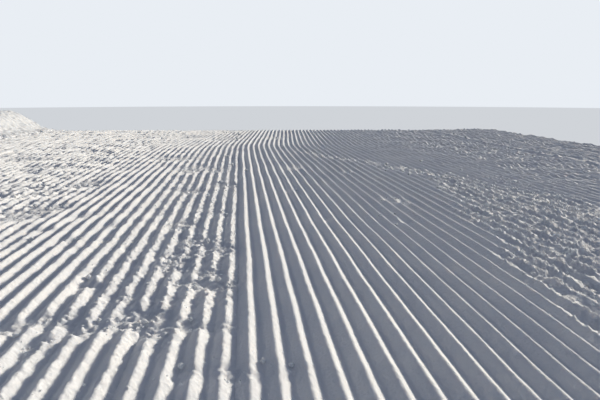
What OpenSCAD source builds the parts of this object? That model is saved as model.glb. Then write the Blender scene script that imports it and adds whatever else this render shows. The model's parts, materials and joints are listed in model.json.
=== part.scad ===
// A section of freshly groomed ski piste, cut out of the snow cover as one block. It holds one
// full pass of a two-part tiller with its combed ridges, the edge of the next pass, the smooth
// strip that the side finisher leaves, and the foot of the natural slope on the left.
// Millimetres. +Y runs along the ridges, +Z is up, the origin is under the middle of the block.
// u is the distance to the right of the pass's centre line, s the distance along that line.

/* [Corduroy] */
// Distance from one ridge to the next, which is the spacing of the comb's teeth
ridge_pitch = 50; // [40:1:60]
// Height of a ridge above its grooves
ridge_h = 18; // [12:1:22]
// Radius of a ridge's crest
crest_r = 6; // [3:0.5:8]
// Radius of a groove's bottom
groove_r = 7; // [3:0.5:9]

/* [Passes] */
// Ridges combed by each of the tiller's two halves
half_ridges = 50; // [40:1:56]
// Ridges in the ragged strip under the joint between the two halves, an even number
joint_ridges = 4; // [2:2:6]
// Ridges kept of the next pass on the right
next_ridges = 18; // [6:1:30]
// How much higher the next pass lies
next_lift = 8; // [0:1:20]

/* [Course of the piste] */
// Length of the straight stretch at the near end
near_l = 3800; // [3500:50:5000]
// Radius of the bend, on the pass's centre line
bend_r = 8400; // [7000:100:12000]
// Angle of the bend, to the right
bend_a = 5.4; // [3:0.1:9]
// Length of the straight stretch at the far end
far_l = 1900; // [1200:50:4000]

/* [Snow layers] */
// Height of the old, hard base course
base_h = 200; // [100:10:400]
// Height of the course packed by the tracks
packed_h = 80; // [40:5:150]
// Thickness of the tilled mat, from its underside to the bottom of the grooves
mat_t = 60; // [30:5:120]

/* [Edges and seam] */
// Width of the strip smoothed by the side finisher
edge_w = 200; // [150:10:300]
// How much the strip rises from the ridges to the bank
edge_rise = 40; // [20:5:80]
// Height of the small windrow along the strip
windrow_h = 22; // [10:1:35]
// Width of the windrow
windrow_w = 110; // [80:5:140]
// Width kept of the natural bank
bank_w = 600; // [300:50:900]
// Rise of the bank above the strip
bank_rise = 260; // [100:10:400]
// Width of the berm where the two passes meet
seam_w = 120; // [80:5:160]
// Height of the berm above the grooves
seam_h = 20; // [16:1:45]

/* [Skid track] */
// Where the skidded ski track starts at the near end, right of the centre line
skid_u = 1600; // [1450:10:1700]
// Direction of the track, turned to the left of the ridges
skid_turn = 6; // [0:1:8]
// Width of the track at the near end
skid_w = 700; // [400:10:800]
// How far the track is scraped below the crests at the near end
skid_depth = 10; // [6:1:11]
// Distance in which the track fades out
skid_l = 3400; // [2600:50:3400]

/* [Clods] */
// Gap between a loose clod and the snow that carries it
seat_gap = 0.3; // [0.1:0.1:0.8]
// How high a clod's middle lies above the grooves, as a share of its size
clod_lift = 0.3; // [0.25:0.01:0.4]

/* [Hidden] */

// Fine enough that a long arc's mesh stays within a tenth of a millimetre
sweep_fn = 1080;
scoop_fn = 360;
// Flat strips that stand for one smooth rise or berm
wave_steps = 8;

// Levels
packed_z = base_h + packed_h;
groove_z = packed_z + mat_t;
crest_z = groove_z + ridge_h;
strip_z = groove_z + edge_rise;
bank_z = strip_z + bank_rise;

// Ridge numbers: ridge n has its crest at (n + 0.5) * ridge_pitch, groove n is at n * ridge_pitch
joint_first = -joint_ridges / 2;
left_first = joint_first - half_ridges;
right_first = joint_ridges / 2;
right_end = right_first + half_ridges;

// Places across the piste
pass_left = left_first * ridge_pitch;
pass_right = right_end * ridge_pitch;
strip_left = pass_left - edge_w;
block_left = strip_left - bank_w;
seam_right = pass_right + seam_w;
block_right = seam_right + next_ridges * ridge_pitch;

// The flank is the line that touches both the groove's arc and the crest's arc
round_r = crest_r + groove_r;
flank_span = sqrt(pow(ridge_pitch / 2, 2) + pow(round_r - ridge_h, 2));
flank_a = asin(round_r / flank_span) - atan2(round_r - ridge_h, ridge_pitch / 2);
groove_half = groove_r * sin(flank_a);
crest_half = crest_r * sin(flank_a);

// Length of the bend along the centre line, and the block's corner to put its middle at the origin
bend_l = bend_r * bend_a * PI / 180;
far_s = near_l + bend_l;
far_x = bend_r * (1 - cos(bend_a)) + far_l * sin(bend_a);
origin_x = (block_left + block_right * cos(bend_a) + far_x) / 2;
origin_y = (near_l + (bend_r - block_left) * sin(bend_a) + far_l * cos(bend_a)) / 2;

// The track's scraped hollow is part of a large cylinder
skid_r = (pow(skid_w / 2, 2) + pow(skid_depth, 2)) / (2 * skid_depth);
skid_tilt = atan(skid_depth / skid_l);

// Ridges broken down by spilled snow: [ridge number, s, length, depth]
BREAKS = [
    [-3, 490, 90, 9],
    [-6, 700, 110, 10],
    [-6, 450, 80, 8],
    [-7, 430, 60, 7],
    [2, 290, 70, 9],
    [3, 270, 90, 8],
    [-4, 2720, 120, 10],
    [-5, 2760, 90, 8],
    [-3, 2680, 100, 9],
    [3, 2700, 80, 7],
    [-15, 2230, 140, 10],
    [-15, 1600, 120, 9],
    [-16, 1500, 160, 11],
    [-17, 1530, 90, 8],
    [-9, 3280, 130, 9],
    [-24, 2900, 150, 10],
    [-31, 3400, 170, 9],
    [-4, 5100, 120, 9],
    [-12, 5300, 140, 8],
    [15, 1260, 110, 9],
    [14, 1090, 80, 8],
    [9, 5200, 130, 8],
];

// Crumbled stretches of the joint's ridges, one after the other: [length, depth, sound ridge after]
CRUMBLES = [
    [70, 8, 210],
    [45, 6, 120],
    [110, 10, 260],
    [60, 7, 90],
    [85, 9, 180],
];
// Where the first crumbled stretch starts, and how much later it starts on each next ridge
crumble_start = 90;
crumble_shift = 140;

// Loose clods: [groove number, s, size, turn]
LEFT_CLODS = [
    [-2, 478, 16, 20],
    [-6, 762, 18, 75],
    [-2, 860, 18, 40],
    [-4, 500, 14, 60],
    [-7, 450, 15, 10],
    [-4, 2640, 26, 50],
    [-15, 2120, 28, 25],
    [-16, 1680, 24, 65],
    [-17, 1420, 26, 5],
    [-9, 3200, 28, 80],
    [-24, 2800, 34, 35],
    [-31, 3300, 38, 60],
    [-20, 700, 22, 15],
    [-12, 1150, 20, 45],
    [-36, 1900, 36, 70],
    [-12, 5200, 40, 30],
];
JOINT_CLODS = [
    [0, 292, 16, 60],
    [0, 480, 14, 30],
    [0, 715, 17, 15],
    [1, 700, 18, 80],
    [0, 1060, 20, 45],
    [1, 1420, 18, 5],
    [-1, 1830, 22, 55],
    [0, 2180, 28, 25],
    [-1, 2560, 26, 70],
    [1, 2900, 28, 35],
    [0, 3350, 32, 10],
    [0, 5000, 36, 50],
    [-1, 5700, 40, 20],
];
RIGHT_CLODS = [
    [3, 290, 15, 40],
    [4, 272, 14, 70],
    [3, 2620, 24, 15],
    [14, 1180, 18, 55],
    [15, 1350, 17, 30],
    [9, 5120, 28, 65],
    [8, 1900, 18, 80],
    [46, 900, 24, 25],
    [49, 2300, 28, 60],
    [50, 3100, 28, 45],
    [48, 5500, 30, 10],
];
// Clods on the windrow and the berm, by the same columns but with u from the crown's line
EDGE_CLODS = [
    [0, 260, 60, 30],
    [12, 780, 44, 70],
    [-10, 1370, 52, 15],
    [6, 2050, 64, 50],
    [-14, 2780, 48, 80],
    [8, 3350, 56, 35],
    [0, 5050, 60, 60],
    [-8, 5900, 50, 20],
];
SEAM_CLODS = [
    [0, 180, 26, 20],
    [16, 520, 32, 60],
    [-14, 900, 24, 35],
    [8, 1340, 30, 75],
    [-6, 1790, 34, 10],
    [18, 2260, 26, 45],
    [-16, 2690, 32, 65],
    [4, 3120, 28, 25],
    [12, 3560, 34, 50],
    [-10, 4980, 28, 15],
    [6, 5420, 32, 70],
    [-12, 5990, 26, 40],
];
// Clods thrown out along the skid track: [s, size, turn], one at each side
SKID_CLODS = [
    [240, 36, 20],
    [610, 26, 65],
    [1010, 30, 40],
    [1490, 28, 80],
    [1900, 34, 10],
    [2360, 30, 55],
    [2810, 36, 30],
];
// How far before or behind its place in the table each of the two lies
skid_stagger = 60;

// The three blocks whose shared middle is a clod: [turns about x, y and z for each degree of the
// clod's turn, turns of its own, sides as shares of the clod's size]
CLOD_BLOCKS = [
    [[1, 0.5, 2], [0, 0, 0], [1, 0.74, 0.62]],
    [[1, 0, 1], [41, 23, 0], [0.86, 0.86, 0.8]],
    [[1, 0, 1], [0, 52, -37], [0.9, 0.84, 0.84]],
];
// Ridges drawn under a clod, an even number, to take their shape out of its underside
bed_ridges = 4;

// Height above the grooves at a distance from the nearest groove's middle
function ridge_z(t) =
    t <= groove_half ? groove_r - sqrt(pow(groove_r, 2) - pow(t, 2))
    : t < ridge_pitch / 2 - crest_half
        ? groove_r * (1 - cos(flank_a)) + (t - groove_half) * tan(flank_a)
    : ridge_h - crest_r + sqrt(pow(crest_r, 2) - pow(ridge_pitch / 2 - t, 2));

// Distances from a groove at which the outline of half a ridge turns
HALF_RIDGE = [0, groove_half, ridge_pitch / 2 - crest_half, ridge_pitch / 2];

// The outline of a row of ridges that starts at a groove
function ridge_row(first, count) = [
    for (n = [first:first + count - 1])
        each [
            for (k = [0:2]) [n * ridge_pitch + HALF_RIDGE[k], ridge_z(HALF_RIDGE[k])],
            for (k = [3:-1:1]) [(n + 1) * ridge_pitch - HALF_RIDGE[k], ridge_z(HALF_RIDGE[k])],
        ],
    [(first + count) * ridge_pitch, 0],
];

// A smooth rise from 0 to 1, and a smooth hump from 0 to 1 and back
function rise(t) = t * t * (3 - 2 * t);
function hump(t) = (1 - cos(360 * t)) / 2;

// Outlines of what crosses the piste, in u and z
module mat_outline(first, count, lift = 0)
    translate([0, groove_z + lift])
        polygon([
            [first * ridge_pitch, -mat_t - lift],
            each ridge_row(first, count),
            [(first + count) * ridge_pitch, -mat_t - lift],
        ]);

module next_mat_outline(first, count)
    translate([seam_right, 0]) mat_outline(first, count, next_lift);

module layer_outline(u0, u1, z0, z1) translate([u0, z0]) square([u1 - u0, z1 - z0]);

module edge_strip_outline()
    polygon([
        [strip_left, packed_z],
        [strip_left, strip_z],
        for (k = [1:wave_steps])
            let (t = k / wave_steps) [
                strip_left + (edge_w - windrow_w) * t,
                groove_z + edge_rise * (1 - rise(t)),
            ],
        for (k = [1:wave_steps])
            let (t = k / wave_steps) [
                pass_left - windrow_w * (1 - t),
                groove_z + windrow_h * hump(t),
            ],
        [pass_left, packed_z],
    ]);

module bank_outline()
    polygon([
        [block_left, base_h],
        for (k = [0:wave_steps])
            let (t = k / wave_steps) [
                block_left + bank_w * t,
                strip_z + bank_rise * (1 - rise(t)),
            ],
        [strip_left, base_h],
    ]);

module seam_outline()
    polygon([
        [pass_right, packed_z],
        for (k = [0:wave_steps])
            let (t = k / wave_steps) [
                pass_right + seam_w * t,
                groove_z + next_lift * rise(t) + seam_h * hump(t),
            ],
        [seam_right, packed_z],
    ]);

// Puts the near end's frame, with u, s and z, in the middle of the block
module from_near_end() translate([-origin_x, -origin_y, 0]) children();

// Turns what was drawn at the start of the far stretch to its place past the bend
module past_the_bend(a)
    translate([bend_r, near_l, 0]) rotate([0, 0, -a]) translate([-bend_r, 0, 0]) children();

// Sweeps an outline along one stretch of the piste
module sweep(stretch)
    from_near_end() {
        if (stretch == "near")
            translate([0, near_l, 0]) rotate([90, 0, 0]) linear_extrude(near_l) children();
        if (stretch == "bend")
            translate([bend_r, near_l, 0]) rotate([0, 0, 180 - bend_a])
                rotate_extrude(angle = bend_a, $fn = sweep_fn)
                    translate([bend_r, 0]) mirror([1, 0]) children();
        if (stretch == "far")
            past_the_bend(bend_a)
                translate([0, far_l, 0]) rotate([90, 0, 0]) linear_extrude(far_l) children();
    }

// Puts something at a place on the piste, on the level of the grooves and turned with the ridges
module spot(u, s)
    from_near_end()
        if (s <= near_l)
            translate([u, s, groove_z]) children();
        else if (s <= far_s)
            past_the_bend((s - near_l) / bend_r * 180 / PI)
                translate([u, 0, groove_z]) children();
        else
            past_the_bend(bend_a) translate([u, s - far_s, groove_z]) children();

// Says whether a place along the piste is on a stretch
function on_stretch(s, stretch) =
    stretch == "near" ? s <= near_l
    : stretch == "far" ? s > far_s
    : s > near_l && s <= far_s;

// What a break takes off the top of one ridge: a shallow round bite across it
module ridge_break(ridge, s, length, depth) {
    r = (pow(length / 2, 2) + pow(depth, 2)) / (2 * depth);
    spot((ridge + 0.5) * ridge_pitch, s)
        translate([0, 0, ridge_h - depth + r]) rotate([0, 90, 0])
            cylinder(r = r, h = ridge_pitch, center = true, $fn = scoop_fn);
}

module breaks(first, count, stretch)
    for (b = BREAKS)
        if (b[0] >= first && b[0] < first + count && on_stretch(b[1], stretch))
            ridge_break(b[0], b[1], b[2], b[3]);

// The table's rows one after the other, again and again, and where crumbled stretch k starts
function crumble(k) = CRUMBLES[k % len(CRUMBLES)];
function crumble_s(k) = k == 0 ? crumble_start : crumble_s(k - 1) + crumble(k - 1)[0] + crumble(k - 1)[2];

// Length of the table's rows one after the other, and how many stretches the whole piste takes
function rows_length(k) = k == len(CRUMBLES) ? 0 : crumble(k)[0] + crumble(k)[2] + rows_length(k + 1);
crumble_count = len(CRUMBLES) * ceil((far_s + far_l) / rows_length(0));

module crumbles(stretch)
    for (ridge = [joint_first:right_first - 1], k = [0:crumble_count]) {
        s = crumble_s(k) + (ridge - joint_first) * crumble_shift;
        if (s < far_s + far_l && on_stretch(s, stretch))
            ridge_break(ridge, s, crumble(k)[0], crumble(k)[1]);
    }

module skid_scoop()
    from_near_end()
        translate([skid_u, 0, crest_z - skid_depth + skid_r]) rotate([0, 0, skid_turn])
            rotate([skid_tilt - 90, 0, 0])
                translate([0, 0, -skid_w]) cylinder(r = skid_r, h = skid_l + 2 * skid_w, $fn = scoop_fn);

// A clod is a lump broken along flat faces: three blocks turned against each other share it
module clod_block(b, size, turn) rotate(b[0] * turn + b[1]) cube(b[2] * size, center = true);

module clod(size, turn)
    intersection() {
        clod_block(CLOD_BLOCKS[0], size, turn);
        clod_block(CLOD_BLOCKS[1], size, turn);
        clod_block(CLOD_BLOCKS[2], size, turn);
    }

// A clod that lies on the snow whose outline is its child, and takes its shape underneath
module seated_clod(u, s, size, turn, level = 0)
    spot(u, s)
        difference() {
            translate([0, 0, level + clod_lift * size]) clod(size, turn);
            rotate([90, 0, 0]) linear_extrude(2 * size, center = true)
                translate([-u, seat_gap - groove_z]) children();
        }

module groove_clod(groove, s, size, turn)
    seated_clod(groove * ridge_pitch, s, size, turn) mat_outline(groove - bed_ridges / 2, bed_ridges);

module clods_in_grooves(table)
    for (c = table)
        groove_clod(c[0], c[1], c[2], c[3]);

module base_course(stretch)
    color("#b9c6d6") sweep(stretch) layer_outline(block_left, block_right, 0, base_h);

module packed_course(stretch)
    color("#d3dce7") sweep(stretch) layer_outline(strip_left, block_right, base_h, packed_z);

module bank(stretch) color("#c9ced6") sweep(stretch) bank_outline();

module edge_strip(stretch) color("#e6e6e6") sweep(stretch) edge_strip_outline();

module left_mat(stretch)
    color("#f3f1ee")
        difference() {
            sweep(stretch) mat_outline(left_first, half_ridges);
            breaks(left_first, half_ridges, stretch);
        }

module joint_strip(stretch)
    color("#e9e8e8")
        difference() {
            sweep(stretch) mat_outline(joint_first, joint_ridges);
            crumbles(stretch);
        }

module right_mat(stretch)
    color("#e4e6ea")
        difference() {
            sweep(stretch) mat_outline(right_first, half_ridges);
            breaks(right_first, half_ridges, stretch);
            if (stretch == "near") skid_scoop();
        }

module seam_berm(stretch) color("#eef0f2") sweep(stretch) seam_outline();

module next_mat(stretch) color("#dfe2e7") sweep(stretch) next_mat_outline(0, next_ridges);

module edge_clods()
    color("#ffffff")
        for (c = EDGE_CLODS)
            seated_clod(pass_left - windrow_w / 2 + c[0], c[1], c[2], c[3], windrow_h) edge_strip_outline();

module left_clods() color("#ffffff") clods_in_grooves(LEFT_CLODS);

module joint_clods() color("#ffffff") clods_in_grooves(JOINT_CLODS);

module right_clods() color("#ffffff") clods_in_grooves(RIGHT_CLODS);

// The track narrows as it gets shallower, so its sides draw in with the root of its depth
module skid_clods()
    color("#ffffff")
        for (c = SKID_CLODS, side = [-1, 1]) {
            half_w = skid_w / 2 * sqrt(1 - c[0] / skid_l);
            groove = round((skid_u - c[0] * tan(skid_turn) + side * half_w) / ridge_pitch);
            groove_clod(groove, c[0] + side * skid_stagger, c[1], c[2]);
        }

module seam_clods()
    color("#ffffff")
        for (c = SEAM_CLODS)
            seated_clod(pass_right + seam_w / 2 + c[0], c[1], c[2], c[3], seam_h) seam_outline();

base_course("near");  // base_course_near
base_course("bend");  // base_course_bend
base_course("far");  // base_course_far
packed_course("near");  // packed_course_near
packed_course("bend");  // packed_course_bend
packed_course("far");  // packed_course_far
bank("near");  // bank_near
bank("bend");  // bank_bend
bank("far");  // bank_far
edge_strip("near");  // edge_strip_near
edge_strip("bend");  // edge_strip_bend
edge_strip("far");  // edge_strip_far
left_mat("near");  // left_mat_near
left_mat("bend");  // left_mat_bend
left_mat("far");  // left_mat_far
joint_strip("near");  // joint_strip_near
joint_strip("bend");  // joint_strip_bend
joint_strip("far");  // joint_strip_far
right_mat("near");  // right_mat_near
right_mat("bend");  // right_mat_bend
right_mat("far");  // right_mat_far
seam_berm("near");  // seam_berm_near
seam_berm("bend");  // seam_berm_bend
seam_berm("far");  // seam_berm_far
next_mat("near");  // next_mat_near
next_mat("bend");  // next_mat_bend
next_mat("far");  // next_mat_far
edge_clods();
left_clods();
joint_clods();
right_clods();
skid_clods();
seam_clods();
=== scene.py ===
# Looks for a section of groomed ski piste: combed corduroy snow, cut out of the snow cover as one block.
import json
from math import asin, atan2, cos, hypot, pi, radians, sin, sqrt, tan

import bpy
import numpy as np
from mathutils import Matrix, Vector

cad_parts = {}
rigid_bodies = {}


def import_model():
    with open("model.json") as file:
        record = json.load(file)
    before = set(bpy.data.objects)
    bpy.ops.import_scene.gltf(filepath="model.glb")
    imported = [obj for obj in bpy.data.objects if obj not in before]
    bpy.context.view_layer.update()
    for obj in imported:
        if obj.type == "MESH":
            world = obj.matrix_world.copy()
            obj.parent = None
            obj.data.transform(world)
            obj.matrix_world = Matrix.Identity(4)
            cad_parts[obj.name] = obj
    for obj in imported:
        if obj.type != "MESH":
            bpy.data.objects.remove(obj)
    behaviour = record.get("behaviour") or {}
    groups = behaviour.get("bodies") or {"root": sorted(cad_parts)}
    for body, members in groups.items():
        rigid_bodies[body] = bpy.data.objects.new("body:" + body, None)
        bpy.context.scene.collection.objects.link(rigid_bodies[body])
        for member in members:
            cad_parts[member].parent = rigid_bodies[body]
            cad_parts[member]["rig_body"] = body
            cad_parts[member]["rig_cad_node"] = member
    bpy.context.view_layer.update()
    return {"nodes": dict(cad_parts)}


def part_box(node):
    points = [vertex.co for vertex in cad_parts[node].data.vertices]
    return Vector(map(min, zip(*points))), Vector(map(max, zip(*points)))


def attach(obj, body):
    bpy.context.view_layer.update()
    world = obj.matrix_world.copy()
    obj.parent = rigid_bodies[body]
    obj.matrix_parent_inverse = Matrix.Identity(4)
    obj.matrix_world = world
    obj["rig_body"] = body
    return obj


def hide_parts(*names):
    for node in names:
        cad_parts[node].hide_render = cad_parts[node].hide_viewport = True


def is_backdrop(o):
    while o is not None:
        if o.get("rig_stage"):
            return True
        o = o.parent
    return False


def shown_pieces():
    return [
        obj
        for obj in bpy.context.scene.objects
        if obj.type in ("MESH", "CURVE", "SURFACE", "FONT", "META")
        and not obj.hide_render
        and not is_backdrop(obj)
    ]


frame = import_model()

mm = 0.001
hair = 0.5 * mm  # points nearer than this to a line or a level count as on it
print("frame loaded:", len(frame["nodes"]), "solids")

# The course of the piste, in metres: u runs across it from the pass's centre line, s along it
course = {
    "nearLength": 3.8,
    "bendRadius": 8.4,
    "bendAngle": radians(5.4),
    "farLength": 1.9,
    "left": -3.4,
    "right": 3.62,
    "sideFade": 0.25,  # the comb's sway dies out this far from the block's cut sides
}
nearEnd = course["nearLength"]
bendEnd = nearEnd + course["bendRadius"] * course["bendAngle"]
pisteEnd = bendEnd + course["farLength"]
stretches = {"near": (0.0, nearEnd), "bend": (nearEnd, bendEnd), "far": (bendEnd, pisteEnd)}
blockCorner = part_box("base_course_near")[0]  # near left corner, at u = left and s = 0
origin = Vector((blockCorner.x - course["left"], blockCorner.y, 0))

comb = {
    "pitch": 50 * mm,
    "height": 18 * mm,
    "crestRadius": 6 * mm,
    "grooveRadius": 7 * mm,
    "grooveLevel": 0.34,
    "sideLevels": (0.325, 0.30, 0.28),  # a mat's sides are drawn down to each of these, the last its bottom
    "nextStart": 2.72,
    "nextCount": 18,
    "nextLift": 8 * mm,
}


def deselectAll():
    if bpy.context.object and bpy.context.object.mode == "EDIT":
        bpy.ops.object.mode_set(mode="OBJECT")
    bpy.ops.object.select_all(action="DESELECT")


def activate(piece):
    deselectAll()
    piece.select_set(True)
    bpy.context.view_layer.objects.active = piece


def places(piece):
    found = np.empty(len(piece.data.vertices) * 3)
    piece.data.vertices.foreach_get("co", found)
    return found.reshape(-1, 3)


def editPoints(piece, chosen):
    # opens edit mode with only these points selected
    activate(piece)
    mesh = piece.data
    mesh.polygons.foreach_set("select", np.zeros(len(mesh.polygons), bool))
    mesh.edges.foreach_set("select", np.zeros(len(mesh.edges), bool))
    mesh.vertices.foreach_set("select", chosen)
    bpy.ops.object.mode_set(mode="EDIT")
    bpy.ops.mesh.select_mode(type="VERT")


def applyAll(piece):
    activate(piece)
    for modifier in list(piece.modifiers):
        bpy.ops.object.modifier_apply(modifier=modifier.name)


def smooth(low, high, value):
    # 0 up to low, 1 from high on, with a soft step between
    t = np.clip((value - low) / (high - low), 0, 1)
    return t * t * (3 - 2 * t)


def between(first, last, share):
    return first + (last - first) * share


def addNode(tree, kind, feeds=None, **settings):
    # a node with its settings, fed by values, by other nodes' first outputs or by sockets
    node = tree.nodes.new(kind)
    for name, value in settings.items():
        setattr(node, name, value)
    for key, value in (feeds or {}).items():
        if isinstance(value, bpy.types.Node):
            value = value.outputs[0]
        if isinstance(value, bpy.types.NodeSocket):
            tree.links.new(value, node.inputs[key])
        else:
            node.inputs[key].default_value = value
    return node


def linear(hexColour):
    # sRGB hex to the linear colour that nodes and lamps take
    parts = [int(hexColour[i:i + 2], 16) / 255 for i in (1, 3, 5)]
    return [c / 12.92 if c <= 0.04045 else ((c + 0.055) / 1.055) ** 2.4 for c in parts] + [1]


def seenRays(tree):
    # 1 on the rays that show a thing as such: straight from the camera, mirrored, or through something clear
    rays = addNode(tree, "ShaderNodeLightPath").outputs
    seen = addNode(tree, "ShaderNodeMath", {0: rays["Is Camera Ray"], 1: rays["Is Glossy Ray"]})
    return addNode(tree, "ShaderNodeMath", {0: seen, 1: rays["Is Transmission Ray"]}, use_clamp=True)


# Camera and light

shot = {
    "foot": (0.12, -0.5),  # u and s of the camera
    "eye": 0.822,
    "tiltDown": 12.34,
    "turnRight": 7.09,
    "lens": 28.26,
    "nearest": 0.05,
}
bpy.ops.object.camera_add(
    location=(shot["foot"][0] + origin.x, shot["foot"][1] + origin.y, shot["eye"]),
    rotation=(radians(90 - shot["tiltDown"]), 0, radians(-shot["turnRight"])),
)
camera = bpy.context.object
camera.name = "camera"
camera.data.lens = shot["lens"]
camera.data.clip_start = shot["nearest"]
bpy.context.scene.camera = camera
bpy.context.scene.view_settings.view_transform = "Standard"

light = {
    "azimuth": 52,  # degrees to the right of the ridges' direction
    "elevation": 13.8,
    "distance": 8,
    "strength": 4.45,
    "softness": 7,
    "colour": "#fff5e2",
    "fillAbove": (0.120, 0.142, 0.195),
    "fillAway": (0.125, 0.148, 0.190),  # from low down, on the side away from the lamp
    "fillToward": (0.44, 0.50, 0.62),   # from low down, on the lamp's side
    "fillTop": 0.8,                     # how high a direction points where the fill is all from above
    "fillTurn": (-0.6, 0.9),            # cosines to the lamp's direction, from all away to all toward
    "backdrop": "#e9eef4",
}
turn, rise = radians(light["azimuth"]), radians(light["elevation"])
toSun = Vector((sin(turn) * cos(rise), cos(turn) * cos(rise), sin(rise)))
bpy.ops.object.light_add(
    type="SUN", location=toSun * light["distance"], rotation=toSun.to_track_quat("Z", "Y").to_euler(),
)
sun = bpy.context.object
sun.name = "low_lamp"
sun.data.energy = light["strength"]
sun.data.angle = radians(light["softness"])
sun.data.color = linear(light["colour"])[:3]

world = bpy.data.worlds.new("studio")
bpy.context.scene.world = world
world.use_nodes = True
sky = world.node_tree
sky.nodes.clear()
looking = addNode(sky, "ShaderNodeTexCoord").outputs["Generated"]
height = addNode(sky, "ShaderNodeSeparateXYZ", {0: looking}).outputs[2]
height = addNode(sky, "ShaderNodeMapRange", {"Value": height, "From Min": 0.0, "From Max": light["fillTop"]})
facing = addNode(sky, "ShaderNodeVectorMath", {0: looking, 1: toSun}, operation="DOT_PRODUCT")
least, most = light["fillTurn"]
facing = addNode(
    sky, "ShaderNodeMapRange", {"Value": facing.outputs["Value"], "From Min": least, "From Max": most},
)
around = addNode(
    sky, "ShaderNodeMix", {0: facing, 6: (*light["fillAway"], 1), 7: (*light["fillToward"], 1)},
    data_type="RGBA",
).outputs[2]
graded = addNode(
    sky, "ShaderNodeMix", {0: height, 6: around, 7: (*light["fillAbove"], 1)}, data_type="RGBA",
).outputs[2]
fill = addNode(sky, "ShaderNodeBackground", {"Color": graded, "Strength": 1})
backdrop = addNode(sky, "ShaderNodeBackground", {"Color": linear(light["backdrop"]), "Strength": 1})
shown = addNode(sky, "ShaderNodeMixShader", {0: seenRays(sky), 1: fill, 2: backdrop})
addNode(sky, "ShaderNodeOutputWorld", {"Surface": shown})

floor = {
    "radius": 40,
    "corners": 96,
    "drop": 1 * mm,
    "colour": "#eceff2",
    "shownAs": "#e4e9ef",
    "share": 0.6,  # of that colour in what the camera sees
}
deselectAll()
bpy.ops.mesh.primitive_circle_add(
    vertices=floor["corners"], radius=floor["radius"], fill_type="NGON", location=(0, 0, -floor["drop"]),
)
ground = bpy.context.object
ground.name = "studio_floor"
bpy.ops.object.transform_apply(location=True)
paint = bpy.data.materials.new("pale studio floor")
paint.use_nodes = True
tree = paint.node_tree
tree.nodes.clear()
matte = addNode(tree, "ShaderNodeBsdfDiffuse", {"Color": linear(floor["colour"])})
glow = addNode(tree, "ShaderNodeEmission", {"Color": linear(floor["shownAs"]), "Strength": 1})
share = addNode(tree, "ShaderNodeMath", {0: seenRays(tree), 1: floor["share"]}, operation="MULTIPLY")
both = addNode(tree, "ShaderNodeMixShader", {0: share, 1: matte, 2: glow})
addNode(tree, "ShaderNodeOutputMaterial", {"Surface": both})
ground.data.materials.append(paint)
ground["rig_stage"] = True
print("camera, light and floor made")

# Where the surface is worked up. Pairs are the u or the s between which a kind of wear comes in or goes out.

relief = {
    "jointLeft": (-0.40, -0.24),
    "jointRight": (0.06, 0.16),
    "jointStart": (0.40, 0.62),
    "jointBefore": 0.55,    # its strength nearer than that
    "frayedStart": (0.7, 1.2),
    "raggedLeft": 1.6,
    "raggedRight": 0.35,
    "raggedTurn": (-0.3, 0.6),
    "raggedBeyond": 2.0,    # added on the far side of the skidded track
    "beyond": (0.9, 1.9),
    "raggedAhead": 0.8,     # added further along
    "ahead": (1.5, 4.0),
    "raggedStart": (0.35, 0.75),
    "raggedBefore": 0.4,    # its strength nearer than that
    "choppedLeft": {"u": (-1.0, -0.55), "s": (1.0, 1.7)},
    "choppedRight": {"u": (1.70, 2.10), "s": (1.4, 2.4)},
    "skidEdge": (0.06, 0.08),   # the track's wear fades from this far inside its edge to this far outside
    "patchSpan": (0.42, 0.56),  # range of the noise that breaks a term into patches
    "seedStep": (7.3, 3.1, 1),  # how far apart in the noise two terms are
}
# The skidded track as the snow shows it: s, its middle, half its width
skidPath = [
    (0.0, 1.30, 0.48), (0.36, 1.30, 0.46), (0.50, 1.32, 0.44), (0.78, 1.33, 0.44), (0.90, 1.34, 0.35),
    (1.04, 1.35, 0.31), (1.2, 1.31, 0.33), (1.4, 1.37, 0.31), (1.6, 1.40, 0.25), (1.8, 1.33, 0.16),
    (2.2, 1.35, 0.10), (2.5, 1.22, 0.12), (2.85, 1.06, 0.08), (3.3, 0.80, 0.06), (3.8, 0.60, 0.0),
]
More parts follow.
